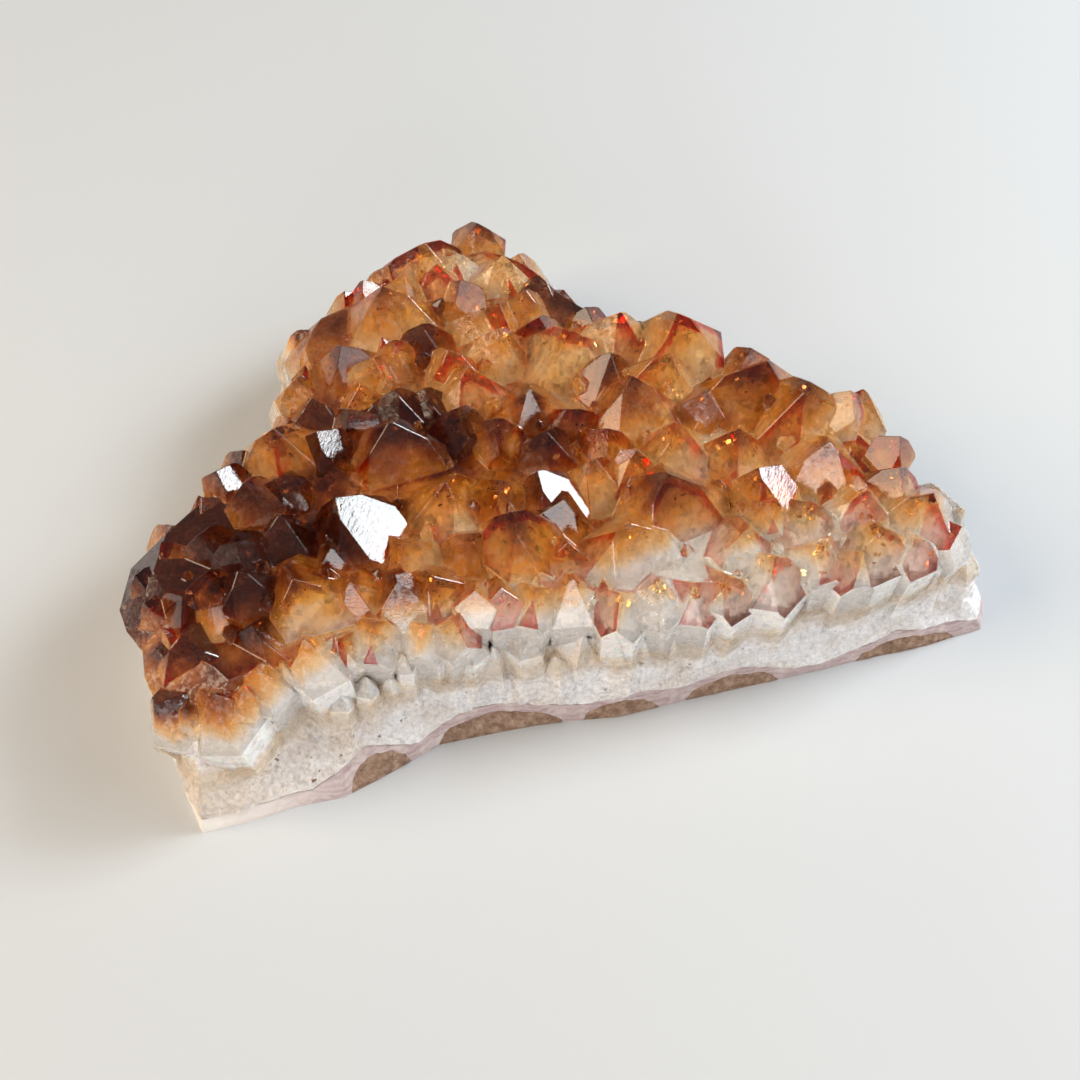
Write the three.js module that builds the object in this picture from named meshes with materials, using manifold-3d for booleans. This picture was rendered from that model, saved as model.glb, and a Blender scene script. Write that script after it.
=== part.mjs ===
// Citrine cluster: a broken plate of heat-coloured quartz points, rooted in milky
// quartz, on a thin band of agate with remains of the brown rock underneath.
// Millimetres, +Z up, +X along the long front face, which looks towards -Y.
import * as THREE from "three";
import { ConvexGeometry } from "three/addons/geometries/ConvexGeometry.js";
import { mergeVertices } from "three/addons/utils/BufferGeometryUtils.js";
import Module from "manifold-3d";

// Driving dimensions of the plate
const GAP = 0.3;
const BED_TOP = 19;
const BED_LEVELS = [0, 5, 12, BED_TOP];
const BED_LUMPS = [0.2, 0.6, 1.0, 0.7];
const CROWN_TOP = 26.5;
const CROWN_SHARE = 0.9;
const CROWN_LUMP = 0.6;
const PLATE_MIDDLE = new THREE.Vector2(0, 45);
const PLATE_HALF = new THREE.Vector2(78, 55);
const WALL_STEP = 5.5;
const SEED = 20417;

// Driving dimensions of the crystals. A pair is the low and the high end of a range
// that chance picks from. The tip faces are set in by a share of the prism's apothem.
const ROOT_LEVEL = 11;
const TIP_SLOPE = THREE.MathUtils.degToRad(51.8);
const OVERLAP = 1.3;
const FAN_OUT = [12, 5];
const LEAN_CHANCE = [-7, 7];
const SIDE_CHANCE = [0.88, 1.1];
const LARGE_FACE_SET = [0, 0.05];
const SMALL_FACE_SET = [0.03, 0.24];
const BLUNT_FACE_SET = [0.15, 0.5];
const SMALL_CRYSTAL = 9;
const EDGE_ROOM = 6;
const EDGE_INSET = [0.5, 2.5];
const EDGE_HEIGHT = [24, 28.5];
const EDGE_ACROSS = [7, 9];
const EDGE_LEAN = [2, 9];

// Driving dimensions of the agate band and of the slab on a grid that it is cut with
const BAND_THICKNESS = 2.4;
const BAND_WAVE = { height: 0.35, alongX: 7, alongY: 9 };
const BAND_OVER_ROCK = { wider: 3, higher: 1.9 };
const SLAB = { left: -95, right: 90, front: -15, back: 120, underside: -5 };
const FLOOR_CELL = 10;
const ROCK_ROUGHNESS = 0.05;
const ROCK_WAVES = [7, 6];

// The broken wall round the plate, anticlockwise from the front left corner: x and
// y of its foot, then x and y of its top, which lies at BED_TOP.
const WALL = [
  [-75, 0, -71.5, 7], [-67, -0.5, -65, 9], [-58, 0, -58, 11], [-50, -0.5, -50, 12],
  [-40, 2, -39, 13], [-31, 4.5, -30, 12], [-20, 4, -20, 10], [-9, 2.5, -9, 7.5],
  [2, 0.5, 2, 3.5], [19, 0, 19, 3], [36, -1, 35, 3], [56, -2, 54, 4],
  [73, -2, 64, 4.5], [76, 3, 66, 7], [74, 12, 66.5, 13], [73, 24, 65.5, 24],
  [69, 34, 63.5, 32], [61, 42, 57, 38.5], [53, 50, 49, 46.5], [45, 60, 41.5, 57.5],
  [38, 70, 34, 66.5], [28, 79, 25, 76], [21, 90, 17, 88], [17, 100, 13.5, 98],
  [8, 108, 6.5, 105], [-4, 109, -4, 105], [-16, 106, -15, 101], [-26, 103, -24, 98],
  [-38, 99, -34, 95], [-44, 89, -39.5, 87.5], [-44, 76, -40, 74.5], [-50, 66, -47.5, 62.5],
  [-60, 62, -58.5, 58], [-66, 56, -64, 53.5], [-70, 50, -70, 50], [-76, 45, -77, 45.5],
  [-78, 37, -80, 37], [-76, 27, -78, 27], [-76, 16, -77, 16], [-76, 7, -74, 11],
];

// Crystals: at is the tip's x, y and height, and across is the width of the prism.
// Optional: lean towards +X and +Y and turn about the crystal's own axis, in degrees.
// A ridge is the length of the edge that a tip has in place of a point, and ridgeTurn
// the direction that it runs in.
const BACK_CRYSTALS = [
  { at: [5, 103, 31], across: 9, turn: 40, lean: [2, -2] },
  { at: [-8, 98, 33], across: 13, turn: 100, ridge: 2.5, lean: [-4, 0] },
  { at: [-6.5, 90.5, 34], across: 7 },
  { at: [-1.5, 95.5, 31], across: 7 },
  { at: [6.5, 90, 33], across: 9 },
  { at: [-3.5, 84.5, 34], across: 7 },
  { at: [8.5, 80, 32], across: 7.5 },
  { at: [18, 85, 25], across: 7, lean: [16, 8] },
  { at: [-24.5, 97, 26], across: 8, lean: [-8, 14] },
  { at: [-35, 92, 23], across: 10, lean: [-14, 14], ridge: 3 },
  { at: [-37, 82, 25], across: 8, lean: [-16, 4] },
  { at: [-19, 84, 37], across: 15.5, turn: 46, ridge: 2 },
  { at: [-13.5, 75.5, 33.5], across: 11.5 },
  { at: [-19.5, 74, 32.5], across: 9 },
  { at: [-13.5, 91.5, 32], across: 10 },
  { at: [-21, 94.5, 30], across: 9 },
  { at: [2.5, 78, 32], across: 8 },
  { at: [12.5, 85.5, 30], across: 9 },
  { at: [-29, 75, 33], across: 11, ridge: 4, ridgeTurn: 10 },
  { at: [-24.5, 70, 33], across: 7 },
  { at: [-28.5, 65, 32], across: 7.5 },
  { at: [-4, 76.5, 33], across: 8 },
  { at: [-0.5, 68.5, 35], across: 11.5, turn: 102 },
  { at: [-11, 67, 34], across: 8 },
  { at: [-9, 60.5, 35], across: 13, turn: 38 },
  { at: [8.5, 71, 33], across: 7.5 },
  { at: [10.5, 63, 37], across: 13, turn: 48, lean: [0, -3] },
  { at: [18.5, 73, 31], across: 6.5 },
  { at: [22, 65, 36], across: 11, turn: 98, ridge: 3.5, ridgeTurn: -12 },
  { at: [18, 57, 34], across: 10 },
];
const RIGHT_CRYSTALS = [
  { at: [32, 59, 38], across: 14, turn: 44, lean: [-3, -2] },
  { at: [28, 51.5, 36], across: 11.5, turn: 108 },
  { at: [19, 47, 37], across: 14.5, turn: 36, ridge: 2 },
  { at: [32, 43, 33], across: 8.5 },
  { at: [42, 44, 36], across: 11.5, turn: 100, ridge: 6, ridgeTurn: 0, lean: [2, -1] },
  { at: [44.5, 52, 32], across: 6.5 },
  { at: [49, 36, 37], across: 15.5, turn: 40, lean: [3, -2] },
  { at: [57, 34.5, 34], across: 7 },
  { at: [61, 36.5, 31], across: 9, lean: [12, 10] },
  { at: [46.5, 22, 36], across: 15.5, turn: 10, ridge: 5, ridgeTurn: 5 },
  { at: [62, 23, 32], across: 7, lean: [14, 2] },
  { at: [50.5, 12.5, 33], across: 8.5 },
  { at: [58, 15.5, 33], across: 8 },
  { at: [61, 9, 33], across: 11, turn: 96, lean: [8, -4], ridge: 3, ridgeTurn: 15 },
  { at: [50, 4.5, 32], across: 9.5, lean: [2, -6] },
  { at: [40, 13, 33], across: 9.5 },
  { at: [33, 15.5, 33], across: 6.5 },
  { at: [38.5, 5, 31], across: 8, lean: [0, -7] },
  { at: [33.5, 32, 34], across: 11.5, turn: 104, ridge: 2 },
  { at: [33, 21.5, 35], across: 8.5, lean: [-15, 13], turn: -41 },
  { at: [27.5, 11, 33], across: 11 },
  { at: [30, 5, 31], across: 10, lean: [0, -6] },
  { at: [66, 4, 27], across: 7, lean: [20, -8] },
];
const CENTRE_CRYSTALS = [
  { at: [23, 35, 36], across: 13, turn: 50 },
  { at: [14.5, 31.5, 35], across: 9.5 },
  { at: [16.5, 22, 38], across: 17, turn: 42, ridge: 2 },
  { at: [0.5, 51.5, 35], across: 9 },
  { at: [8, 45, 34], across: 8 },
  { at: [0.5, 42, 34], across: 9 },
  { at: [11.5, 39, 34], across: 6.5 },
  { at: [-7.5, 47.5, 34], across: 8 },
  { at: [6, 32.5, 34.5], across: 12.5, turn: 98, ridge: 2 },
  { at: [-14, 52, 34], across: 8.5 },
  { at: [-23, 60, 34], across: 9 },
  { at: [-17.5, 59.5, 33], across: 7 },
  { at: [-26, 50, 36], across: 14.5, turn: 34, ridge: 2 },
  { at: [-4, 33, 34.5], across: 11, lean: [-15, 13], turn: -41 },
  { at: [-11, 33, 34], across: 11 },
  { at: [-1.5, 25.5, 34], across: 8.5 },
  { at: [-20, 34, 36], across: 13.5, turn: 106 },
  { at: [-11.5, 23.5, 37], across: 12, lean: [-4, 6], turn: -35 },
  { at: [-3, 18, 32], across: 7.5 },
  { at: [6.5, 16, 35], across: 12.5, turn: 45, ridge: 5, ridgeTurn: -5 },
  { at: [-19, 24, 33], across: 8 },
];
const LEFT_CRYSTALS = [
  { at: [-47, 56, 35], across: 15, turn: 102, ridge: 1.5 },
  { at: [-39, 55, 33], across: 8 },
  { at: [-38, 63.5, 33], across: 9 },
  { at: [-32, 58.5, 33], across: 8.5 },
  { at: [-58, 53, 31], across: 6.5 },
  { at: [-61.5, 50.5, 28], across: 8.5, lean: [-14, 12] },
  { at: [-54, 46, 34], across: 8 },
  { at: [-48.5, 46, 33], across: 7.5 },
  { at: [-49.5, 37, 34], across: 9.5 },
  { at: [-37.5, 46, 33], across: 7.5 },
  { at: [-39.5, 36, 36.5], across: 14, lean: [-15, 13], turn: -41 },
  { at: [-30, 26, 33], across: 8 },
  { at: [-42.5, 28, 33], across: 10.5 },
  { at: [-41, 20, 33], across: 9 },
  { at: [-33.5, 17.5, 33], across: 8.5 },
  { at: [-27, 17.5, 32.5], across: 8.5 },
  { at: [-57.5, 33.5, 34], across: 8 },
  { at: [-58.5, 26.5, 35], across: 9.5 },
  { at: [-64, 29.5, 33], across: 7 },
  { at: [-64, 39.5, 31], across: 7.5 },
  { at: [-50, 21.5, 36], across: 14, turn: 38 },
  { at: [-70, 42, 28.5], across: 10, lean: [-18, 14] },
  { at: [-76, 38, 26], across: 9.5, lean: [-30, 8], ridge: 2 },
  { at: [-75, 31, 27], across: 9, lean: [-26, -2] },
  { at: [-68.5, 27.5, 30.5], across: 8 },
  { at: [-64.5, 23.5, 31], across: 7 },
  { at: [-70, 20, 30], across: 12, lean: [-14, -2] },
  { at: [-58.5, 18, 31], across: 8.5 },
  { at: [-77, 12.5, 24], across: 9.5, lean: [-28, -6] },
  { at: [-68, 9, 27], across: 11.5, lean: [-14, -6] },
  { at: [-59.5, 11.5, 28], across: 9 },
  { at: [-51, 13.5, 29.5], across: 9 },
  { at: [-75, 22.5, 25], across: 8, lean: [-24, 0] },
];
const FRONT_CRYSTALS = [
  { at: [-44.5, 13.5, 27], across: 8 },
  { at: [-39, 13.5, 29.5], across: 9, lean: [0, -6] },
  { at: [-31, 11.5, 28], across: 7.5, lean: [0, -5] },
  { at: [-26, 10.5, 29], across: 7, lean: [0, -5] },
  { at: [-21, 13.5, 31], across: 7, lean: [0, -4] },
  { at: [-16.5, 13, 30.5], across: 7.5, lean: [0, -4] },
  { at: [-11, 11.5, 30.5], across: 7.5, lean: [0, -5] },
  { at: [-4.5, 11, 31], across: 9, lean: [0, -5] },
  { at: [2.5, 6.5, 30], across: 8.5, lean: [0, -4] },
  { at: [9, 6, 31], across: 9, lean: [0, -4] },
  { at: [15.5, 5, 29.5], across: 8, lean: [0, -4] },
  { at: [21.5, 4.5, 29.5], across: 8.5, lean: [1, -5] },
  { at: [45, 3, 29], across: 8, lean: [2, -5] },
  { at: [56.5, 3, 29], across: 8, lean: [5, -6] },
];

// Where the brown rock still sits under the agate band and opens in the front face:
// its middle, then half its length, half its depth and its height.
const ROCKS = [
  { name: "host_rock_left", at: [-43, 4], size: [6, 16, 4.2] },
  { name: "host_rock_long", at: [-20, 8], size: [12, 22, 4.4] },
  { name: "host_rock_middle", at: [2, 2], size: [7, 14, 3.8] },
  { name: "host_rock_right", at: [23, 2], size: [9, 19, 3.6] },
  { name: "host_rock_far_right", at: [57, 0], size: [10, 15, 3.0] },
];

// Colours of the plain solids
const AMBER = 0xb8641c;
const AGATE = 0xb9a9ad;
const ROCK_BROWN = 0x7b5a40;

const wasm = await Module();
wasm.setup();

function seededRandom(seed) {
  let state = seed >>> 0;
  return () => {
    state = (state + 0x6d2b79f5) >>> 0;
    let mixed = Math.imul(state ^ (state >>> 15), state | 1);
    mixed ^= mixed + Math.imul(mixed ^ (mixed >>> 7), mixed | 61);
    return ((mixed ^ (mixed >>> 14)) >>> 0) / 2 ** 32;
  };
}
const random = seededRandom(SEED);
const between = ([low, high]) => low + (high - low) * random();

function toSolid(geometry) {
  const bare = geometry.clone();
  bare.deleteAttribute("normal");
  bare.deleteAttribute("uv");
  const welded = mergeVertices(bare, 1e-4);
  return new wasm.Manifold(new wasm.Mesh({
    numProp: 3,
    vertProperties: new Float32Array(welded.attributes.position.array),
    triVerts: new Uint32Array(welded.index.array),
  }));
}

function toGeometry(solid) {
  const mesh = solid.getMesh();
  const geometry = new THREE.BufferGeometry();
  geometry.setAttribute("position", new THREE.BufferAttribute(mesh.vertProperties, 3));
  geometry.setIndex(new THREE.BufferAttribute(mesh.triVerts, 1));
  return geometry;
}

function geometryFromFaces(corners, faces) {
  const geometry = new THREE.BufferGeometry();
  geometry.setAttribute("position", new THREE.Float32BufferAttribute(corners.flat(), 3));
  geometry.setIndex(faces.flat());
  return geometry;
}

// The corners of a convex form given by planes: every point where three planes
// meet that lies outside none of the others.
function cornersOfPlanes(planes) {
  const corners = [];
  const system = new THREE.Matrix3();
  for (let i = 0; i < planes.length; i += 1) {
    for (let j = i + 1; j < planes.length; j += 1) {
      for (let k = j + 1; k < planes.length; k += 1) {
        const [a, b, c] = [planes[i], planes[j], planes[k]];
        system.set(...a.normal.toArray(), ...b.normal.toArray(), ...c.normal.toArray());
        if (Math.abs(system.determinant()) < 1e-6) continue;
        const corner = new THREE.Vector3(a.reach, b.reach, c.reach).applyMatrix3(system.invert());
        const inside = planes.every((plane) => plane.normal.dot(corner) < plane.reach + 1e-5);
        if (inside) corners.push(corner);
      }
    }
  }
  return corners;
}

// A quartz crystal hangs down from its tip along its own axis: six sides and six
// tip faces, three of them larger, all at the fixed angle that quartz has.
function crystalSolid({ at, across, lean, turn, ridge = 0, ridgeTurn = 0 }) {
  const fan = [0, 1].map((axis) => {
    const middle = PLATE_MIDDLE.getComponent(axis);
    return (at[axis] - middle) / PLATE_HALF.getComponent(axis) * FAN_OUT[axis] + between(LEAN_CHANCE);
  });
  const [leanX, leanY] = (lean ?? fan).map(THREE.MathUtils.degToRad);
  const turnBy = THREE.MathUtils.degToRad(turn ?? between([0, 120]));
  const ridgeLine = new THREE.Vector3(1, 0, 0).applyAxisAngle(
    new THREE.Vector3(0, 0, 1), THREE.MathUtils.degToRad(ridgeTurn));
  const apothem = across / 2 * OVERLAP;
  const smallFaceSet = across < SMALL_CRYSTAL ? BLUNT_FACE_SET : SMALL_FACE_SET;
  const planes = [];
  const addPlane = (normal, reach) => {
    const stretch = ridge / 2 * Math.abs(normal.dot(ridgeLine));
    planes.push({ normal, reach: reach + stretch });
  };
  for (let side = 0; side < 6; side += 1) {
    const angle = turnBy + side * Math.PI / 3;
    const outwards = new THREE.Vector3(Math.cos(angle), Math.sin(angle), 0);
    const tipSet = between(side % 2 === 1 ? smallFaceSet : LARGE_FACE_SET) * apothem;
    addPlane(outwards, apothem * between(SIDE_CHANCE));
    const sloped = outwards.clone().multiplyScalar(Math.sin(TIP_SLOPE));
    sloped.z = Math.cos(TIP_SLOPE);
    addPlane(sloped, tipSet);
  }
  const axis = new THREE.Vector3(Math.tan(leanX), Math.tan(leanY), 1).normalize();
  const length = (at[2] - ROOT_LEVEL) / axis.z;
  planes.push({ normal: new THREE.Vector3(0, 0, -1), reach: length });
  const upright = new THREE.Quaternion().setFromUnitVectors(new THREE.Vector3(0, 0, 1), axis);
  const corners = cornersOfPlanes(planes);
  const highest = Math.max(...corners.map((corner) => corner.z));
  const placed = corners.map((corner) => {
    const lowered = corner.clone();
    lowered.z -= highest;
    return lowered.applyQuaternion(upright).add(new THREE.Vector3(...at));
  });
  return toSolid(new ConvexGeometry(placed));
}

// The wall as evenly spaced points: its foot, its top and the way out of the plate.
function wallPoints() {
  const spaced = [];
  WALL.forEach(([x, y, topX, topY], index) => {
    const [nextX, nextY, nextTopX, nextTopY] = WALL[(index + 1) % WALL.length];
    const length = Math.hypot(nextX - x, nextY - y);
    const steps = Math.max(1, Math.round(length / WALL_STEP));
    for (let step = 0; step < steps; step += 1) {
      const t = step / steps;
      spaced.push({
        foot: new THREE.Vector2(x + (nextX - x) * t, y + (nextY - y) * t),
        top: new THREE.Vector2(topX + (nextTopX - topX) * t, topY + (nextTopY - topY) * t),
        outwards: new THREE.Vector2(nextY - y, x - nextX).divideScalar(length),
      });
    }
  });
  return spaced;
}

// The milky quartz bed: rings that lead from the wall's foot to its top, each point
// moved a little so that the broken wall is lumpy, and one drawn in for the crown.
function bedSolid() {
  const wall = wallPoints();
  const corners = [];
  BED_LEVELS.forEach((level, ring) => {
    wall.forEach(({ foot, top, outwards }) => {
      const lump = between([-BED_LUMPS[ring], BED_LUMPS[ring]]);
      const place = foot.clone().lerp(top, level / BED_TOP).addScaledVector(outwards, lump);
      corners.push([place.x, place.y, level]);
    });
  });
  wall.forEach(({ top, outwards }) => {
    const place = PLATE_MIDDLE.clone().lerp(top, CROWN_SHARE);
    place.addScaledVector(outwards, between([-CROWN_LUMP, CROWN_LUMP]));
    corners.push([place.x, place.y, CROWN_TOP]);
  });
  const count = wall.length;
  const faces = [];
  for (let ring = 0; ring < BED_LEVELS.length; ring += 1) {
    for (let index = 0; index < count; index += 1) {
      const next = (index + 1) % count;
      const low = ring * count;
      const high = low + count;
      faces.push([low + index, low + next, high + next], [low + index, high + next, high + index]);
    }
  }
  // A flat cap over one ring, whose triangles all face up or all face down.
  const addCap = (ring, faceUp) => {
    const outline = corners.slice(ring * count, (ring + 1) * count)
      .map(([x, y]) => new THREE.Vector2(x, y));
    for (const triangle of THREE.ShapeUtils.triangulateShape(outline, [])) {
      const anticlockwise = THREE.ShapeUtils.area(triangle.map((index) => outline[index])) > 0;
      const ordered = anticlockwise === faceUp ? triangle : triangle.reverse();
      faces.push(ordered.map((index) => ring * count + index));
    }
  };
  addCap(0, false);
  addCap(BED_LEVELS.length, true);
  return toSolid(geometryFromFaces(corners, faces));
}

// How high the agate band reaches at a place: it rises over every piece of rock.
function bandTop(x, y) {
  const wave = Math.sin(x / BAND_WAVE.alongX) * Math.cos(y / BAND_WAVE.alongY);
  let top = BAND_THICKNESS + BAND_WAVE.height * wave;
  for (const { at, size } of ROCKS) {
    const [acrossX, acrossY] = [size[0] + BAND_OVER_ROCK.wider, size[1] + BAND_OVER_ROCK.wider];
    const away = Math.hypot((x - at[0]) / acrossX, (y - at[1]) / acrossY);
    const arch = Math.sqrt(Math.max(0, 1 - away * away));
    top = Math.max(top, arch * (size[2] + BAND_OVER_ROCK.higher));
  }
  return top;
}

// Everything below the top of the band, raised by a clearance: a slab on a grid.
function belowBand(clearance) {
  const { left, right, front, back, underside } = SLAB;
  const columns = Math.round((right - left) / FLOOR_CELL);
  const rows = Math.round((back - front) / FLOOR_CELL);
  const corners = [];
  for (const upper of [false, true]) {
    for (let row = 0; row <= rows; row += 1) {
      for (let column = 0; column <= columns; column += 1) {
        const x = left + column * FLOOR_CELL;
        const y = front + row * FLOOR_CELL;
        corners.push([x, y, upper ? bandTop(x, y) + clearance : underside]);
      }
    }
  }
  const layer = (rows + 1) * (columns + 1);
  const number = (row, column, upper) => row * (columns + 1) + column + (upper ? layer : 0);
  const faces = [];
  const addQuad = (a, b, c, d) => faces.push([a, b, c], [a, c, d]);
  for (let row = 0; row < rows; row += 1) {
    for (let column = 0; column < columns; column += 1) {
      for (const upper of [false, true]) {
        const ring = [number(row, column, upper), number(row, column + 1, upper),
          number(row + 1, column + 1, upper), number(row + 1, column, upper)];
        addQuad(...(upper ? ring : ring.reverse()));
      }
    }
  }
  for (let column = 0; column < columns; column += 1) {
    addQuad(number(0, column), number(0, column + 1),
      number(0, column + 1, true), number(0, column, true));
    addQuad(number(rows, column + 1), number(rows, column),
      number(rows, column, true), number(rows, column + 1, true));
  }
  for (let row = 0; row < rows; row += 1) {
    addQuad(number(row + 1, 0), number(row, 0), number(row, 0, true), number(row + 1, 0, true));
    addQuad(number(row, columns), number(row + 1, columns),
      number(row + 1, columns, true), number(row, columns, true));
  }
  return toSolid(geometryFromFaces(corners, faces));
}

// A lump of rock: a rough low dome, larger all round by a clearance.
function rockSolid({ at, size }, clearance) {
  const dome = new THREE.IcosahedronGeometry(1, 1);
  const place = dome.attributes.position;
  for (let index = 0; index < place.count; index += 1) {
    const [x, y, z] = [place.getX(index), place.getY(index), place.getZ(index)];
    const wave = Math.sin(ROCK_WAVES[0] * x + at[0]) * Math.cos(ROCK_WAVES[1] * y + at[1]);
    const rough = 1 + ROCK_ROUGHNESS * wave;
    place.setXYZ(index,
      at[0] + x * rough * (size[0] + clearance),
      at[1] + y * rough * (size[1] + clearance),
      z * rough * (size[2] + clearance));
  }
  return toSolid(dome);
}

// Crystals along the sides and the back, wherever the listed ones leave the edge
// open, so that the plate is finished all round. The front wall gets none.
function edgeCrystals(listed) {
  const facesFront = ({ outwards }) => outwards.y <= -0.5;
  const isFree = ({ at: [x, y] }) => listed.every(({ at }) => {
    return Math.hypot(x - at[0], y - at[1]) > EDGE_ROOM;
  });
  return wallPoints()
    .filter((point) => !facesFront(point))
    .map(({ top, outwards }) => {
      const tip = top.clone().addScaledVector(outwards, -between(EDGE_INSET));
      return {
        at: [tip.x, tip.y, between(EDGE_HEIGHT)],
        across: between(EDGE_ACROSS),
        lean: [outwards.x * between(EDGE_LEAN), outwards.y * between(EDGE_LEAN)],
      };
    })
    .filter(isFree);
}

const bed = bedSolid();
const listed = [
  ...BACK_CRYSTALS, ...RIGHT_CRYSTALS, ...CENTRE_CRYSTALS, ...LEFT_CRYSTALS, ...FRONT_CRYSTALS,
];
const crystals = [...listed, ...edgeCrystals(listed)];
let druse = bed.subtract(belowBand(GAP));
for (const crystal of crystals) {
  druse = druse.add(crystalSolid(crystal));
}

let band = bed.intersect(belowBand(0));
const rocks = ROCKS.map((rock) => {
  band = band.subtract(rockSolid(rock, GAP));
  return { name: rock.name, solid: bed.intersect(rockSolid(rock, 0)) };
});

// Crystals that lean together can close off a pocket. Only the outer skin is kept,
// so such a pocket is filled: triangles are gathered by the corners that they share.
function outerSkin(geometry) {
  const index = geometry.index.array;
  const parent = Array.from({ length: geometry.attributes.position.count }, (_, corner) => corner);
  const rootOf = (corner) => {
    let root = corner;
    while (parent[root] !== root) root = parent[root];
    parent[corner] = root;
    return root;
  };
  for (let start = 0; start < index.length; start += 3) {
    parent[rootOf(index[start])] = rootOf(index[start + 1]);
    parent[rootOf(index[start + 1])] = rootOf(index[start + 2]);
  }
  const shells = new Map();
  for (let start = 0; start < index.length; start += 3) {
    const root = rootOf(index[start]);
    if (!shells.has(root)) shells.set(root, []);
    shells.get(root).push(index[start], index[start + 1], index[start + 2]);
  }
  const largest = [...shells.values()].sort((one, other) => other.length - one.length)[0];
  const skin = geometry.clone();
  skin.setIndex(largest);
  return skin;
}

function namedMesh(name, solid, color, roughness) {
  const material = new THREE.MeshStandardMaterial({ color, roughness });
  const mesh = new THREE.Mesh(outerSkin(toGeometry(solid)), material);
  mesh.name = name;
  return mesh;
}

const cluster = new THREE.Group();
cluster.name = "citrine_cluster";
cluster.add(namedMesh("quartz_crystals", druse, AMBER, 0.2));
cluster.add(namedMesh("agate_band", band, AGATE, 0.5));
for (const { name, solid } of rocks) {
  cluster.add(namedMesh(name, solid, ROCK_BROWN, 0.9));
}

// The frame's origin is the middle of the underside.
const box = new THREE.Box3().setFromObject(cluster);
const middle = box.getCenter(new THREE.Vector3());
for (const mesh of cluster.children) {
  mesh.geometry.translate(-middle.x, -middle.y, -box.min.z);
}

export default cluster;
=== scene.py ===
# %% [markdown]
# Citrine cluster: the looks. A broken plate of quartz points, dark amber at the tips
# and milky at the roots, stands on a thin agate band with scraps of brown rock. The
# solids come from the frame at their real size. This file dresses them, in metres.

import math
import random

import bmesh
import bpy
import numpy
from mathutils import Matrix, Vector, kdtree, noise
from mathutils.bvhtree import BVHTree


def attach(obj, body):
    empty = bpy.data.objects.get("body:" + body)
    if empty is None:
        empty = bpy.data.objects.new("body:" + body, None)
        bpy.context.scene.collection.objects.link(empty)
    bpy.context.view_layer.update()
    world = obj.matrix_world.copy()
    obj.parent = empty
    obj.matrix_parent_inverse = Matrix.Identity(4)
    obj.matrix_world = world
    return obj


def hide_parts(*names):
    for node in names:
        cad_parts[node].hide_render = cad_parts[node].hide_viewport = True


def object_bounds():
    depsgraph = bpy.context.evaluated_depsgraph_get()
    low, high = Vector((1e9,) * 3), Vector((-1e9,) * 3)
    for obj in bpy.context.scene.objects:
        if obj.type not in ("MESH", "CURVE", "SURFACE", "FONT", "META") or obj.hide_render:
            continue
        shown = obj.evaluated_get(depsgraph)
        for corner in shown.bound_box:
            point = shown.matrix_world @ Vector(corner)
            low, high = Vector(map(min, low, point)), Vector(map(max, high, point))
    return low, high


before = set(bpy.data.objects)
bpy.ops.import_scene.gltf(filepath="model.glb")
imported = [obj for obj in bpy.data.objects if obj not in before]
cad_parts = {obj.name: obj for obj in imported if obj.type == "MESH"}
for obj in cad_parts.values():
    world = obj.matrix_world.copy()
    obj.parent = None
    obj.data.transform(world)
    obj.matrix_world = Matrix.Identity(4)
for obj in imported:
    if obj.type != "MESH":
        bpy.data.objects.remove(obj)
cad_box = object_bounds()
MM = 0.001
print("solids:", sorted(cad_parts))

# %% [markdown]
# The camera looks down on the plate from the front left, 52 degrees above the
# horizon, from about a third of a metre away. A longish lens keeps the perspective
# calm. The place is given from the middle of the underside, the frame's origin.

# %% Camera
CAMERA_PLACE = (-57.2 * MM, -197.3 * MM, 251.0 * MM)
CAMERA_DOWN = 52.0
CAMERA_TURN = 17.54
LENS_MM = 53.8
SENSOR_MM = 36.0


def add_camera():
    data = bpy.data.cameras.new("photo_camera")
    data.lens = LENS_MM
    data.sensor_width = SENSOR_MM
    data.clip_start = 10 * MM
    camera = bpy.data.objects.new("photo_camera", data)
    camera.location = CAMERA_PLACE
    camera.rotation_euler = (math.radians(90 - CAMERA_DOWN), 0, math.radians(-CAMERA_TURN))
    bpy.context.scene.collection.objects.link(camera)
    bpy.context.scene.camera = camera


add_camera()
print("camera stands", round(Vector(CAMERA_PLACE).length / MM), "mm from the origin")

# %% [markdown]
# Clear quartz shows little else than what it mirrors and what it bends, so the lights
# have a real size. A window on the right is bright and cool, and a few crystal faces
# mirror it. A wide pale wall behind it gives the soft veil on faces that look right. A
# low light fills the front, and a warm lamp stands at the left. The floor is plain and
# pale. Four lights are few, so sampling them through a light tree would only cost time.

# %% Floor and light
ROOM_COLOUR = (1.0, 0.985, 0.96)
ROOM_STRENGTH = 0.20
FLOOR_COLOUR = (0.58, 0.602, 0.63)
FLOOR_SIZE = 6
FLOOR_ROUGHNESS = 0.6

# Degrees to the left of +X, degrees up, metres away, width and height, watts, colour
LIGHTS = {
    "window": (3.0, 36.0, 0.85, (0.31, 0.29), 5.2, (0.90, 0.97, 1.0)),
    "pale_wall": (-15.0, 40.0, 1.3, (0.9, 0.8), 6.0, (0.92, 0.96, 1.0)),
    "room_front": (-104.0, 15.0, 1.4, (0.7, 0.5), 7.0, (1.0, 0.98, 0.96)),
    "warm_lamp": (172.0, 40.0, 1.1, (0.7, 0.7), 10.0, (1.0, 0.82, 0.60)),
}


def heading(angle, height):
    """The direction at that angle to the left of +X and that height, in degrees."""
    turn, rise = math.radians(angle), math.radians(height)
    flat = math.cos(rise)
    return Vector((math.cos(turn) * flat, math.sin(turn) * flat, math.sin(rise)))


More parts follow.
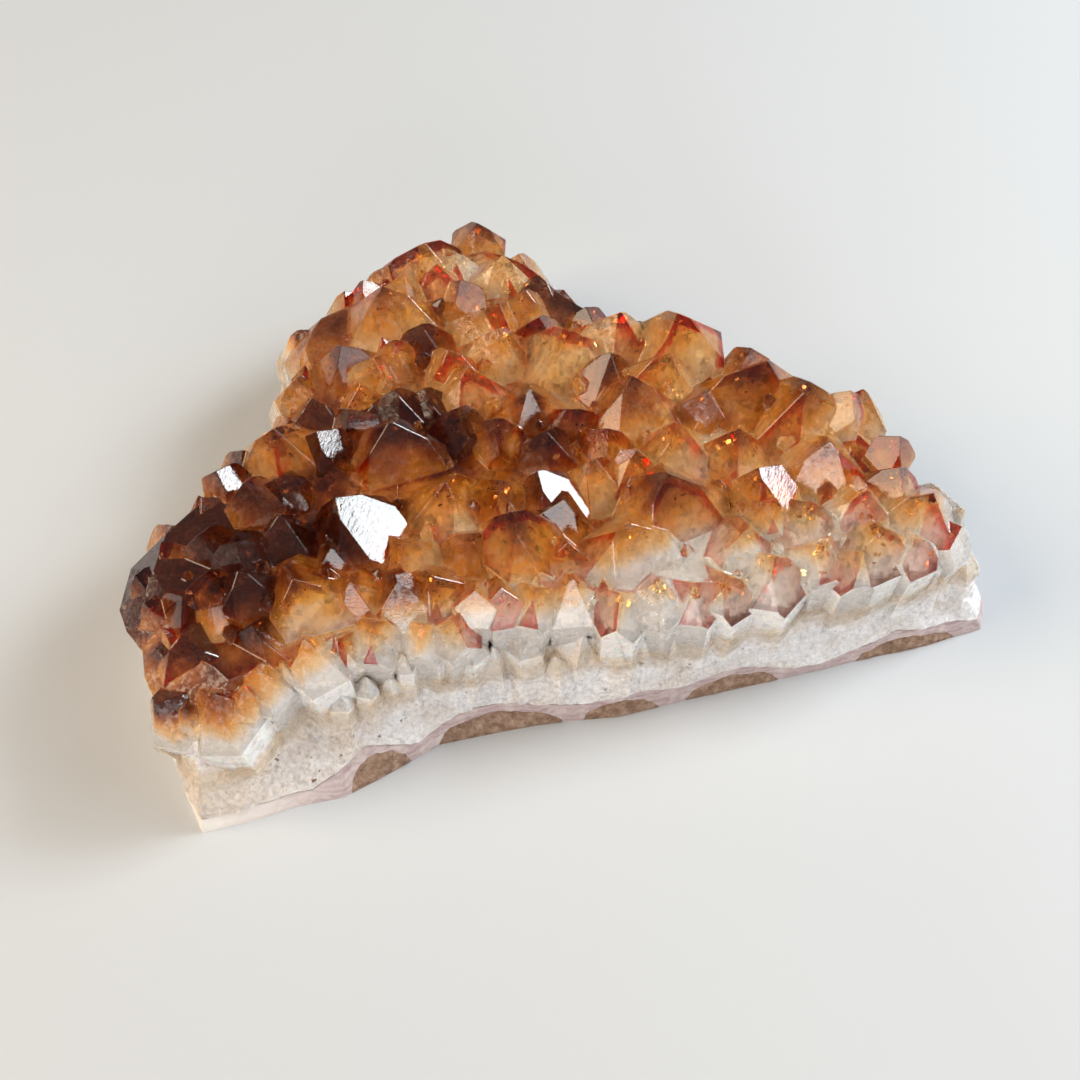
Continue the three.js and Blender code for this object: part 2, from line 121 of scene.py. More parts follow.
def add_soft_light(name, angle, height, distance, size, power, colour):
    data = bpy.data.lights.new(name, "AREA")
    data.shape = "RECTANGLE"
    data.size, data.size_y = size
    data.energy = power
    data.color = colour
    light = bpy.data.objects.new(name, data)
    direction = heading(angle, height)
    light.location = direction * distance
    light.rotation_euler = direction.to_track_quat("Z", "Y").to_euler()
    bpy.context.scene.collection.objects.link(light)


def add_room():
    world = bpy.data.worlds.new("dim_room")
    world.use_nodes = True
    background = world.node_tree.nodes["Background"]
    background.inputs["Color"].default_value = (*ROOM_COLOUR, 1)
    background.inputs["Strength"].default_value = ROOM_STRENGTH
    bpy.context.scene.world = world


def add_floor():
    bpy.ops.mesh.primitive_plane_add(size=FLOOR_SIZE, location=(0, 0, 0))
    floor = bpy.context.active_object
    floor.name = "floor"
    material = bpy.data.materials.new("pale_floor")
    material.use_nodes = True
    shader = material.node_tree.nodes["Principled BSDF"]
    shader.inputs["Base Color"].default_value = (*FLOOR_COLOUR, 1)
    shader.inputs["Roughness"].default_value = FLOOR_ROUGHNESS
    floor.data.materials.append(material)


add_room()
add_floor()
for light_name, settings in LIGHTS.items():
    add_soft_light(light_name, *settings)
bpy.context.scene.view_settings.view_transform = "Standard"
bpy.context.scene.cycles.use_light_tree = False
print("lights:", ", ".join(LIGHTS))

# %% [markdown]
# Every piece that dresses a solid starts as a copy of it. The copy's loose triangles
# are merged, and flat neighbours are dissolved, so that each crystal face becomes one
# polygon again. That lets each face have its own random number, for frost and clarity.
# A few helpers run the operators, so that each piece below reads as a list of steps.

# %% Copying a solid
FLAT_ANGLE = math.radians(0.6)
MERGE_REACH = 1e-6


def only(piece):
    """Selects this piece alone."""
    bpy.ops.object.select_all(action="DESELECT")
    piece.select_set(True)
    bpy.context.view_layer.objects.active = piece


def edit(piece, *steps):
    """Runs bpy.ops.mesh steps on the whole mesh. A step is a name and its settings."""
    only(piece)
    bpy.ops.object.mode_set(mode="EDIT")
    for name, settings in steps:
        bpy.ops.mesh.select_all(action="SELECT")
        getattr(bpy.ops.mesh, name)(**settings)
    bpy.ops.object.mode_set(mode="OBJECT")


def modify(piece, kind, **settings):
    """Adds a modifier and applies it."""
    only(piece)
    modifier = piece.modifiers.new(kind.lower(), kind)
    for name, value in settings.items():
        setattr(modifier, name, value)
    bpy.ops.object.modifier_apply(modifier=modifier.name)


def link(piece):
    bpy.context.scene.collection.objects.link(piece)
    return piece


def copy_of(source, name):
    return link(bpy.data.objects.new(name, source.data.copy()))


def copy_of_solid(node, name):
    piece = copy_of(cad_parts[node], name)
    piece.data.materials.clear()
    edit(
        piece,
        ("customdata_custom_splitnormals_clear", {}),
        ("remove_doubles", {"threshold": MERGE_REACH}),
        ("faces_shade_flat", {}),
        ("dissolve_limited", {"angle_limit": FLAT_ANGLE}),
    )
    return piece


def opened(piece):
    mesh = bmesh.new()
    mesh.from_mesh(piece.data)
    mesh.normal_update()
    mesh.faces.ensure_lookup_table()
    return mesh


def closed(mesh, piece):
    mesh.to_mesh(piece.data)
    mesh.free()
    piece.data.update()


# %% [markdown]
# Three things are done again and again below: looking for the surface of a piece with
# rays, joining many copies of one form in a mesh, and giving a finished piece its
# materials. The last also hides the solids that the piece stands for and says what carries it.

# %% Rays, copies and finished pieces
DROP_FROM = 100 * MM
DOWN = Vector((0, 0, -1))


def skin_of(piece):
    """The piece's surface as a tree that rays can be cast at."""
    mesh = opened(piece)
    skin = BVHTree.FromBMesh(mesh)
    mesh.free()
    return skin


def surface_below(skin, x, y):
    """Where a plumb line at x and y meets the surface, and the way that it faces there."""
    return skin.ray_cast(Vector((x, y, DROP_FROM)), DOWN)[:2]


def joined_copies(name, copies, faces):
    """One mesh of many copies. A copy is the list of its corners, and all share faces."""
    corners, polygons = [], []
    for copy in copies:
        first = len(corners)
        corners += copy
        polygons += [[first + index for index in face] for face in faces]
    data = bpy.data.meshes.new(name)
    data.from_pydata(corners, [], polygons)
    return link(bpy.data.objects.new(name, data))


def finish_piece(piece, materials, replaced=()):
    """Gives the piece its materials, keeps each face's finish and says what carries it."""
    last = len(materials) - 1
    kinds = [min(face.material_index, last) for face in piece.data.polygons]
    piece.data.materials.clear()
    for material in materials:
        piece.data.materials.append(material)
    piece.data.polygons.foreach_set("material_index", kinds)
    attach(piece, "root")
    if replaced:
        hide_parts(*replaced)
    print(piece.name, "has", len(piece.data.polygons), "faces")


crystals = copy_of_solid("quartz_crystals", "crystal_points")
print(len(crystals.data.polygons), "flat faces")

# %% [markdown]
# Between the big points stand young ones. One is modelled: a six-sided bar with a blunt
# point that sits a little off its middle, as on real quartz, whose faces never grow
# evenly. The copies differ in size, turn and lean, so one form is enough.

# %% The form of a young point
TIP_SLOPE = math.radians(51.8)
TIP_OFF_MIDDLE = (0.06, 0.04)
BAR_STRETCH = 1.3


def young_master():
    """The corners and faces of a six-sided bar, 1 across and 1 long, with its tip at 0."""
    bpy.ops.object.select_all(action="DESELECT")
    bpy.ops.mesh.primitive_cylinder_add(vertices=6, radius=0.5, depth=1.0, end_fill_type="NGON")
    master = bpy.context.active_object
    mesh = opened(master)
    top = max(mesh.faces, key=lambda face: face.calc_center_median().z)
    rise = 0.5 * math.cos(math.pi / 6) * math.tan(TIP_SLOPE)
    tip = bmesh.ops.poke(mesh, faces=[top])["verts"][0]
    tip.co += Vector((*TIP_OFF_MIDDLE, rise))
    drop = Vector((0, 0, tip.co.z))
    shape = [corner.co - drop for corner in mesh.verts]
    faces = [[corner.index for corner in face.verts] for face in mesh.faces]
    mesh.free()
    bpy.data.objects.remove(master)
    return shape, faces


young_shape, young_faces = young_master()
print("a young point has", len(young_faces), "faces")

# %% [markdown]
# Young points fill the valleys. A place is tried at random: eight places in a ring round
# it tell whether it lies lower than its surroundings. Most have to be higher, or the
# young point would break out of the middle of a big face, which no real one does.

# %% Places in the valleys
YOUNG_TRIES = 5000
YOUNG_SPACING = 7.4 * MM
# In millimetres: the least width, the most and the most usual
YOUNG_ACROSS = (4.2, 8.0, 5.8)
YOUNG_PROUD = (0.2, 0.5)
YOUNG_LEAN = 0.16
YOUNG_OUTWARD = 0.6
YOUNG_LOWEST = 18 * MM
VALLEY_REACH = 5.0 * MM
VALLEY_DEPTH = 4.0 * MM
VALLEY_RISE = 1.0 * MM
VALLEY_LOOKS = 8
VALLEY_SIDES = 5


def is_valley(skin, x, y, height):
    """Most of the places in a ring round x and y lie higher, and one lies much higher."""
    around = []
    for step in range(VALLEY_LOOKS):
        turn = Matrix.Rotation(step * math.tau / VALLEY_LOOKS, 3, "Z")
        side = turn @ Vector((VALLEY_REACH, 0, 0))
        around.append(surface_below(skin, x + side.x, y + side.y)[0])
    if not all(around):
        return False
    rises = [other.z - height for other in around]
    higher = sum(1 for rise in rises if rise > VALLEY_RISE)
    return higher >= VALLEY_SIDES and max(rises) >= VALLEY_DEPTH


def valley_places(chance):
    """Places in the valleys, with the way that the surface faces there."""
    skin = skin_of(crystals)
    low, high = cad_box
    chosen = []
    for _ in range(YOUNG_TRIES):
        x, y = chance.uniform(low[0], high[0]), chance.uniform(low[1], high[1])
        place, normal = surface_below(skin, x, y)
        if not place or place.z < YOUNG_LOWEST or not is_valley(skin, x, y, place.z):
            continue
        if all((place - other).length >= YOUNG_SPACING for other, _ in chosen):
            chosen.append((place, normal))
    return chosen


def valley_points(chance):
    """The tip, direction, width and added length of each young point in a valley."""
    points = []
    for place, normal in valley_places(chance):
        across = chance.triangular(*YOUNG_ACROSS) * MM
        lean = Vector((chance.gauss(0, YOUNG_LEAN), chance.gauss(0, YOUNG_LEAN), 1.0))
        axis = (normal * YOUNG_OUTWARD + lean).normalized()
        points.append((place + axis * across * chance.uniform(*YOUNG_PROUD), axis, across, 0.0))
    return points


# %% [markdown]
# The broken front face shows the white shafts of the points side by side. They use the
# same form. A row of them is set along the wall: a ray finds the wall, and each shaft
# stands a little into it, with its foot buried in the bed and its tip at its own height.

# %% Shafts along the front
COLUMNS_FROM = -46 * MM
COLUMNS_TO = 72 * MM
COLUMN_FOOT = 8 * MM
COLUMN_BURIED = 2 * MM
# In millimetres, from the least to the most: the heights of the tips, and the widths
COLUMN_TIPS = (17.0, 25.5)
COLUMN_ACROSS = (4.4, 9.4)
COLUMN_STEP = (0.62, 0.9)
COLUMN_INTO_WALL = 0.40
COLUMN_LEAN = (0, 0.05)
COLUMN_LEAN_BACK = (0.04, 0.03)
# The bar with its tip is about this many times as long as it is across
BAR_LENGTH = 2.0
IN_FRONT = -90 * MM


def front_columns(chance):
    """The tips, directions, widths and added lengths of the shafts that line the front wall."""
    skin = skin_of(crystals)
    columns = []
    x = COLUMNS_FROM
    while x < COLUMNS_TO:
        across = chance.uniform(*COLUMN_ACROSS) * MM
        wall_place = skin.ray_cast(Vector((x, IN_FRONT, COLUMN_FOOT)), Vector((0, 1, 0)))[0]
        if wall_place:
            axis = Vector((chance.gauss(*COLUMN_LEAN), chance.gauss(*COLUMN_LEAN_BACK), 1)).normalized()
            rise = chance.uniform(*COLUMN_TIPS) * MM - COLUMN_FOOT
            foot = wall_place + Vector((0, across * COLUMN_INTO_WALL, 0))
            longer = rise - BAR_LENGTH * across + COLUMN_BURIED
            columns.append((foot + axis * rise, axis, across, longer))
        x += across * chance.uniform(*COLUMN_STEP)
    return columns


# %% [markdown]
# A Boolean joins the copies to the big points. Without it their hidden parts would show
# as glass inside glass. The clear stone stays one body, and light runs through it.

# %% Joining the young points
YOUNG_SEED = 23
YOUNG_BROAD = (0.75, 1.1)
YOUNG_SKEW = 0.1
SAME_LEVEL = 0.01
JOIN_REACH = 1e-5


def young_copy(chance, tip, axis, across, longer):
    """The corners of one young point. Its tip is skewed and its foot moved down by longer."""
    turn = axis.to_track_quat("Z", "Y").to_matrix()
    spin = Matrix.Rotation(chance.uniform(0, math.pi / 3), 3, "Z")
    broad = chance.uniform(*YOUNG_BROAD)
    skew = Vector((chance.gauss(0, YOUNG_SKEW), chance.gauss(0, YOUNG_SKEW), 0))
    lowest = min(corner.z for corner in young_shape)
    corners = []
    for corner in young_shape:
        shift = skew if corner.z > -SAME_LEVEL else Vector()
        local = Vector((corner.x, corner.y * broad, corner.z * BAR_STRETCH)) * across + shift * across
        if corner.z < lowest + SAME_LEVEL:
            local.z -= longer
        corners.append(tip + turn @ (spin @ local))
    return corners


def join_young_points():
    chance = random.Random(YOUNG_SEED)
    points = valley_points(chance) + front_columns(chance)
    copies = [young_copy(chance, *point) for point in points]
    young = joined_copies("young_points", copies, young_faces)
    modify(crystals, "BOOLEAN", operation="UNION", object=young, solver="EXACT", use_self=True)
    bpy.data.objects.remove(young)
    edit(
        crystals,
        ("remove_doubles", {"threshold": JOIN_REACH}),
        ("dissolve_limited", {"angle_limit": FLAT_ANGLE}),
    )
    return len(points)


print(join_young_points(), "young points,", len(crystals.data.polygons), "flat faces now")

# %% [markdown]
# The colour of a quartz point depends on how far below its own tip you look. So the
# faces are first sorted into crystals: faces of one crystal meet in ridges, and two
# crystals meet in a valley. Each crystal gets a random tone, and each corner of its
# faces is told how far it lies below the tip. Materials read both as attributes. Each
# face also gets one of four finishes: clear or cloudy near the tips, frosted on the
# sides, milky at the foot. A large face that would mirror the window is always clear.

# %% Sorting the faces into crystals
SORTING_SEED = 11
LOWEST_TIP = 20 * MM
BED_FACES = 26
SIDE_FACE = 0.45
CLEAR_SIDES = 0.12
CLEAR_TIPS = 0.5
FROSTED_BELOW = 25 * MM
MILKY_BELOW = 17.5 * MM
MIRROR_WAY = Vector((0.40, -0.36, 0.84))
MIRROR_REACH = math.radians(7)
MIRROR_AREA = 20 * MM**2
SMALL_POINT = 7 * MM
PALER_SMALL = 0.7
CLEAR, CLOUDY, FROSTED, MILKY = 0, 1, 2, 3


def is_mirror(face):
    """Large faces that mirror the window are clear and clean."""
    return face.normal.angle(MIRROR_WAY) < MIRROR_REACH and face.calc_area() > MIRROR_AREA


def finish_of(face, number):
    """Which finish a face has: low ones are milky or frosted, the rest go by chance."""
    if is_mirror(face):
        return CLEAR
    height = face.calc_center_median().z
    if height < MILKY_BELOW:
        return MILKY
    if height < FROSTED_BELOW:
        return FROSTED
    if face.normal.z < SIDE_FACE:
        return CLEAR if number < CLEAR_SIDES else FROSTED
    return CLEAR if number < CLEAR_TIPS else CLOUDY


def crystal_groups(mesh):
    groups, seen = [], set()
    for start in mesh.faces:
        if start.index in seen:
            continue
        seen.add(start.index)
        group = [start]
        for face in group:
            for edge in face.edges:
                if len(edge.link_faces) != 2 or not edge.is_convex:
                    continue
                for other in edge.link_faces:
                    if other.index not in seen:
                        seen.add(other.index)
                        group.append(other)
        groups.append(group)
    return groups


def is_tip(corner):
    lower = all(edge.other_vert(corner).co.z < corner.co.z for edge in corner.link_edges)
    return corner.co.z > LOWEST_TIP and lower


def tree_of(points):
    tree = kdtree.KDTree(len(points))
    for index, point in enumerate(points):
        tree.insert(point, index)
    tree.balance()
    return tree


def mark_crystals(piece, seed):
    """Stores below_tip, tone and facet on the piece. Returns the tips and the bed's area."""
    chance = random.Random(seed)
    mesh = opened(piece)
    below_tip = mesh.loops.layers.float.new("below_tip")
    tone = mesh.loops.layers.float.new("tone")
    facet = mesh.loops.layers.float.new("facet")
    tips = [corner.co.copy() for corner in mesh.verts if is_tip(corner)]
    tree = tree_of(tips)
    bed_area = 0.0
    for group in crystal_groups(mesh):
        top = max((corner for face in group for corner in face.verts), key=lambda corner: corner.co.z)
        own_tip = is_tip(top) and len(group) < BED_FACES
        group_tone = chance.random()
        extent = top.co.z - min(corner.co.z for face in group for corner in face.verts)
        paler = max(0.0, SMALL_POINT - extent) * PALER_SMALL
        for face in group:
            face_chance = chance.random()
            face.material_index = finish_of(face, face_chance)
            if is_mirror(face):
                face_chance = 0.0
            if not own_tip:
                bed_area += face.calc_area()
            for loop in face.loops:
                place = loop.vert.co
                tip_height = top.co.z if own_tip else tree.find(place)[0].z
                loop[below_tip] = max(0.0, tip_height - place.z) + paler
                loop[tone] = group_tone
                loop[facet] = face_chance
    closed(mesh, piece)
    return tips, bed_area


tips, bed_area = mark_crystals(crystals, SORTING_SEED)
tip_tree = tree_of(tips)
print(len(tips), "tips, and", round(bed_area / MM**2), "mm2 of bed between them")

# %% [markdown]
# The plate is nearly black red at the left of the middle, and pale at the back and on
# the right. That is partly the stone's own colour and partly painted: painted shade in the
# low pockets left of the middle, and painted light at the back and on the right, where the
# window falls. A few round zones carry that. Each corner of a mesh gets their sum:
# below zero is darker than usual.
# Lower down the stone turns milky. That starts high up along the broken front, where
# the shafts are white to the top, and low on the left lobe, which is amber to its foot.

# %% Dark and pale zones
MILKY_FRONT = 31.0
MILKY_DROP_BEHIND = 9.5
BEHIND_FRONT = (-42, -24)
MILKY_DROP_LEFT = 8.0
TOWARDS_LEFT = (38, 60)

# In millimetres: x, y and radius. Then the strength, where below zero is dark, partly
# painted shade, and above zero is pale, partly painted light.
ZONES = (
    (-56, -25, 11, -0.85), (-40, -18, 11, -0.5), (-25, -13, 10, -0.35), (-12, -10, 10, -0.5),
    (5, -8, 10, -0.5), (-36, 7, 10, -0.25), (-20, 4, 9, -0.4), (15, 25, 18, 0.35), (52, -34, 7, -0.3),
    (-40, -8, 30, -0.2), (-37, 26, 10, 0.8), (5, 43, 9, 1.0), (62, -20, 10, 1.0), (65, -45, 10, 1.0),
    (2, -45, 8, 0.7), (22, -45, 9, 1.0), (35, -49, 8, 1.0), (-48, -46, 10, 1.0), (-7, 41, 7, 1.0),
    (-19, -27, 6, 0.6), (49, -47, 8, 0.8), (-14, -42, 7, 0.6), (12, -46, 7, 0.5),
)


def zone_at(place):
    total = 0.0
    for x, y, radius, strength in ZONES:
        away = ((place.x / MM - x) ** 2 + (place.y / MM - y) ** 2) / radius**2
        total += strength * math.exp(-away)
    return max(-1.0, min(1.0, total))


def smooth_step(low, high, value):
    share = min(1.0, max(0.0, (value - low) / (high - low)))
    return share * share * (3 - 2 * share)


def milky_level(place):
    """The height below which the quartz turns white: high in front, low on the left lobe."""
    x, y = place.x / MM, place.y / MM
    level = MILKY_FRONT - MILKY_DROP_BEHIND * smooth_step(*BEHIND_FRONT, y)
    return (level - MILKY_DROP_LEFT * smooth_step(*TOWARDS_LEFT, -x)) * MM


def mark_zones(piece):
    zone = piece.data.attributes.new("zone", "FLOAT", "POINT")
    into_milk = piece.data.attributes.new("into_milk", "FLOAT", "POINT")
    for index, corner in enumerate(piece.data.vertices):
        zone.data[index].value = zone_at(corner.co)
        into_milk.data[index].value = milky_level(corner.co) - corner.co.z


def mark_tip_distance(piece):
    attribute = piece.data.attributes.new("below_tip", "FLOAT", "POINT")
    for index, corner in enumerate(piece.data.vertices):
        attribute.data[index].value = tip_tree.find(corner.co)[2]


print(sum(1 for zone in ZONES if zone[3] < 0), "dark zones of", len(ZONES))

# %% [markdown]
# Inside the clear points lies a cloudy heart: milky quartz that reaches up under the
# tips. Its surface is a fine grid, dropped from above onto the points. Every corner
# of the grid then takes the lowest height found around it, less a little more, so the
# heart stays well inside every crystal and is lower and narrower than it.

# %% Milky heart
GRID_STEP = 0.8 * MM
HEART_INSET = 2.0 * MM
HEART_DROP = 1.0 * MM
HEART_FOOT = 3.0 * MM
HEART_RAGGED = 0.5 * MM
HEART_WAVES = (2.2 * MM, 0.9 * MM)
GRID_MARGIN = 4
CELL_SLACK = 0.3


def lowest_around(heights, reach):
    """For each cell of the grid, the lowest value within that many cells."""
    lowest = heights.copy()
    for across in range(-reach, reach + 1):
        for along in range(-reach, reach + 1):
            if math.hypot(across, along) <= reach + CELL_SLACK:
                lowest = numpy.minimum(lowest, numpy.roll(heights, (across, along), (0, 1)))
    return lowest


def grid_place(column, row):
    low = cad_box[0]
    return low[0] + (column - GRID_MARGIN) * GRID_STEP, low[1] + (row - GRID_MARGIN) * GRID_STEP


def heart_heights(columns, rows):
    """The height of the heart's surface at each corner of the grid."""
    skin = skin_of(crystals)
    heights = numpy.zeros((columns, rows))
    for column in range(columns):
        for row in range(rows):
            hit = surface_below(skin, *grid_place(column, row))[0]
            heights[column, row] = hit.z if hit else 0.0
    return lowest_around(heights, round(HEART_INSET / GRID_STEP)) - HEART_DROP


def close_down(mesh, foot):
    """Draws the rim of a sheet down to a level and closes it there."""
    rim = [edge for edge in mesh.edges if edge.is_boundary]
    for part in bmesh.ops.extrude_edge_only(mesh, edges=rim)["geom"]:
        if isinstance(part, bmesh.types.BMVert):
            part.co.z = foot
    rim = [edge for edge in mesh.edges if edge.is_boundary]
    bmesh.ops.holes_fill(mesh, edges=rim, sides=0)
    bmesh.ops.recalc_face_normals(mesh, faces=mesh.faces)


def make_heart():
    low, high = cad_box
    columns = int((high[0] - low[0]) / GRID_STEP) + 2 * GRID_MARGIN
    rows = int((high[1] - low[1]) / GRID_STEP) + 2 * GRID_MARGIN
    heights = heart_heights(columns, rows)
    bpy.ops.mesh.primitive_grid_add(x_subdivisions=columns - 1, y_subdivisions=rows - 1, size=1)
    heart = bpy.context.active_object
    heart.name = heart.data.name = "milky_heart"
    mesh = opened(heart)
    long_wave, short_wave = HEART_WAVES
    for corner in list(mesh.verts):
        column = round((corner.co.x + 0.5) * (columns - 1))
        row = round((corner.co.y + 0.5) * (rows - 1))
        place = Vector((*grid_place(column, row), heights[column, row]))
        if place.z < HEART_FOOT:
            mesh.verts.remove(corner)
            continue
        ragged = noise.noise(place / long_wave) + 0.5 * noise.noise(place / short_wave)
        place.z += ragged * HEART_RAGGED
        corner.co = place
    loose = [corner for corner in mesh.verts if not corner.link_faces]
    bmesh.ops.delete(mesh, geom=loose, context="VERTS")
    close_down(mesh, HEART_FOOT)
    closed(mesh, heart)
    mark_zones(heart)
    mark_tip_distance(heart)
    return heart


heart = make_heart()
print("heart:", len(heart.data.vertices), "corners")

# %% [markdown]
# The broken wall of the plate is sugary white quartz. It is a thin crust on the lower
# part of the solid: the copy is cut off above the wall, split finely and pushed out by
# cloudy noise in three sizes. Faces too high to show white are dropped, and the rest
# gets a thickness. The crust fades out upwards, so each corner is told its height above
# the level where that starts: lower at the back, on the left lobe and in dark zones.

# %% Sugary wall
WALL_TOP = 27 * MM
WALL_STEP = 0.95 * MM
WALL_CRUST = 0.5 * MM
WALL_OUTSET = 0.4 * MM
WALL_BARE = 6 * MM
WALL_ROUNDS = 7
FACES_DOWN = -0.6
FADE_FROM = 15.0
FADE_LOWER_BACK = 1.0
BACK_OF_WALL = (-34, -10)
FADE_LOWER_LEFT = 5.0
LEFT_OF_WALL = (50, 64)
FADE_LOWER_DARK = 5.0

# Each layer of noise: the size of its lumps and how far they move the wall
WALL_LAYERS = {
    "wall_swells": (7 * MM, 1.2 * MM),
    "wall_lumps": (3.2 * MM, 0.7 * MM),
    "wall_grains": (1.1 * MM, 0.5 * MM),
}


def split_long_edges(piece, longest, rounds):
    mesh = opened(piece)
    bmesh.ops.triangulate(mesh, faces=mesh.faces)
    for _ in range(rounds):
        long_edges = [edge for edge in mesh.edges if edge.calc_length() > longest]
        if not long_edges:
            break
        bmesh.ops.subdivide_edges(mesh, edges=long_edges, cuts=1)
        bmesh.ops.triangulate(mesh, faces=[face for face in mesh.faces if len(face.verts) > 3])
    closed(mesh, piece)


def roughen(piece, name, size, strength, **settings):
    """Moves the piece's corners in and out by cloudy noise."""
    texture = bpy.data.textures.new(name, "CLOUDS")
    texture.noise_scale = size
    modify(piece, "DISPLACE", texture=texture, texture_coords="LOCAL", strength=strength,
           mid_level=0.5, **settings)


def above_wall(place):
    """How far a place lies above the level where the white crust starts to fade."""
    level = FADE_FROM - FADE_LOWER_BACK * smooth_step(*BACK_OF_WALL, place.y / MM)
    level -= FADE_LOWER_LEFT * smooth_step(*LEFT_OF_WALL, -place.x / MM)
    # The dark zones, partly painted shade, bring the fade lower as well.
    return place.z - (level + FADE_LOWER_DARK * min(0.0, zone_at(place))) * MM


def make_wall():
    wall = copy_of(crystals, "sugary_wall")
    cut = {"plane_co": (0, 0, WALL_TOP), "plane_no": (0, 0, 1), "clear_outer": True}
    edit(wall, ("bisect", cut))
    mesh = opened(wall)
    under = [face for face in mesh.faces if face.normal.z < FACES_DOWN]
    bmesh.ops.delete(mesh, geom=under, context="FACES")
    closed(mesh, wall)
    split_long_edges(wall, WALL_STEP, WALL_ROUNDS)
    modify(wall, "DISPLACE", strength=WALL_OUTSET, mid_level=0.0)
    for name, (size, strength) in WALL_LAYERS.items():
        roughen(wall, name, size, strength)
    mesh = opened(wall)
    bare = [face for face in mesh.faces
            if all(above_wall(corner.co) > WALL_BARE for corner in face.verts)]
    bmesh.ops.delete(mesh, geom=bare, context="FACES")
    closed(mesh, wall)
    modify(wall, "SOLIDIFY", thickness=WALL_CRUST, offset=-1.0)
    attribute = wall.data.attributes.new("above_wall", "FLOAT", "POINT")
    for index, corner in enumerate(wall.data.vertices):
        attribute.data[index].value = above_wall(corner.co)
    return wall


wall = make_wall()
print("wall:", len(wall.data.polygons), "faces")

# %% [markdown]
# Under many tips lie healed cracks: thin flat films that flash like gold leaf when
# they catch the light. One flake is modelled, a thin five-sided plate, and is copied
# at random below the tips. A copy that would stick out of the stone is left out.

# %% Inner flakes
FLAKE_SEED = 31
FLAKES_PER_TIP = 16
FLAKE_ACROSS = (0.4, 1.9)
FLAKE_SIDES = 5
FLAKE_THICKNESS = 0.06
FLAKE_SLIM = 0.6
FLAKE_DEPTH = (1.8, 6.5)
FLAKE_SPREAD = 0.35
FLAKE_TURN = (0, 6.3)
FLAKE_LEAN = (-1.2, 1.2)
FLAKE_ROOM = 0.55


def flake_master():
    """The corners and faces of a thin plate, 1 across."""
    bpy.ops.object.select_all(action="DESELECT")
    bpy.ops.mesh.primitive_circle_add(vertices=FLAKE_SIDES, radius=0.5, fill_type="NGON")
    master = bpy.context.active_object
    mesh = opened(master)
    bmesh.ops.solidify(mesh, geom=[mesh.faces[0]], thickness=FLAKE_THICKNESS)
    bmesh.ops.recalc_face_normals(mesh, faces=mesh.faces)
    shape = [corner.co.copy() for corner in mesh.verts]
    faces = [[corner.index for corner in face.verts] for face in mesh.faces]
    mesh.free()
    bpy.data.objects.remove(master)
    return shape, faces


def is_inside(skin, place, margin):
    nearest, normal, _, distance = skin.find_nearest(place)
    return (place - nearest).dot(normal) < 0 and distance > margin


def make_flakes(seed):
    chance = random.Random(seed)
    skin = skin_of(crystals)
    shape, faces = flake_master()
    copies = []
    for tip in tips:
        for _ in range(FLAKES_PER_TIP):
            depth = chance.uniform(*FLAKE_DEPTH)
            spread = FLAKE_SPREAD * depth
            place = tip + Vector((chance.gauss(0, spread), chance.gauss(0, spread), -depth)) * MM
            across = chance.uniform(*FLAKE_ACROSS) * MM
            if not is_inside(skin, place, across * FLAKE_ROOM):
                continue
            turn = Matrix.Rotation(chance.uniform(*FLAKE_TURN), 3, "Z")
            lean = Matrix.Rotation(chance.uniform(*FLAKE_LEAN), 3, "X")
            slim = [Vector((corner.x, corner.y * FLAKE_SLIM, corner.z)) * across for corner in shape]
            copies.append([place + turn @ (lean @ (turn @ corner)) for corner in slim])
    return joined_copies("inner_flakes", copies, faces), len(copies)


flakes, flake_count = make_flakes(FLAKE_SEED)
print(flake_count, "flakes")

# %% [markdown]
# The outer skin of the points keeps the flat faces of the solid. A narrow bevel
# catches the light on the edges, as on real quartz.

# %% Clear points
EDGE_WIDTH = 0.13 * MM
SHARP_ANGLE = math.radians(25)

modify(crystals, "BEVEL", width=EDGE_WIDTH, segments=1, limit_method="ANGLE",
       angle_limit=SHARP_ANGLE, use_clamp_overlap=False)
mark_zones(crystals)
print("crystals:", len(crystals.data.polygons), "faces with their edges")

# %% [markdown]
# The materials below are built from the same few steps, so each step is a small
# function that adds a node, sets its values and returns what comes out of it.


